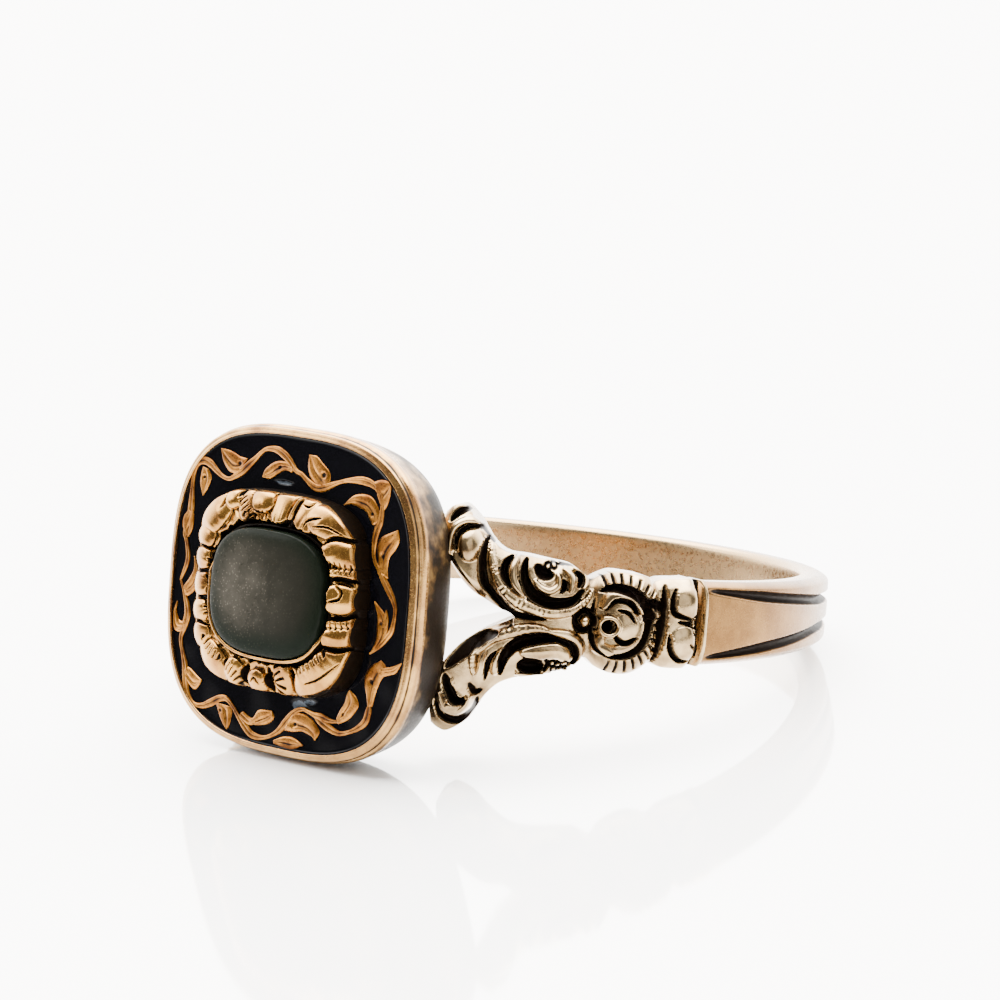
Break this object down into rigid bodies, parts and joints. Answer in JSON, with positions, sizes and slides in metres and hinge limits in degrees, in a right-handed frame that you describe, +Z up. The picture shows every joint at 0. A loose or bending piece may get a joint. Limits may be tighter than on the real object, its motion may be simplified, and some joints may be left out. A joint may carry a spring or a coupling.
{
  "type": "mourning ring",
  "caption": "Gold mourning ring with a black enamel cushion head, a gold vine, a chased border, a low domed glass and scrolled forked shoulders",
  "frame": {"origin": "centre of the bounding box, on the floor the ring lies on", "axes": "+Z up from the floor, -Y out of the ring's head, +Y towards the back of the band"},
  "size_m": [0.0194, 0.0219, 0.01],
  "materials": {
    "gold": "worn satin gold, dark in its recesses",
    "black_enamel": "glossy, lightly chipped at the border",
    "glass": "polished, slightly grey",
    "hair": "dark speckled weave"
  },
  "bodies": {
    "root": {"gold_mount": "gold", "black_enamel": "black_enamel", "chased_border": "gold", "glass_collet": "gold", "domed_glass": "glass", "hair_panel": "hair"}
  },
  "joints": []
}
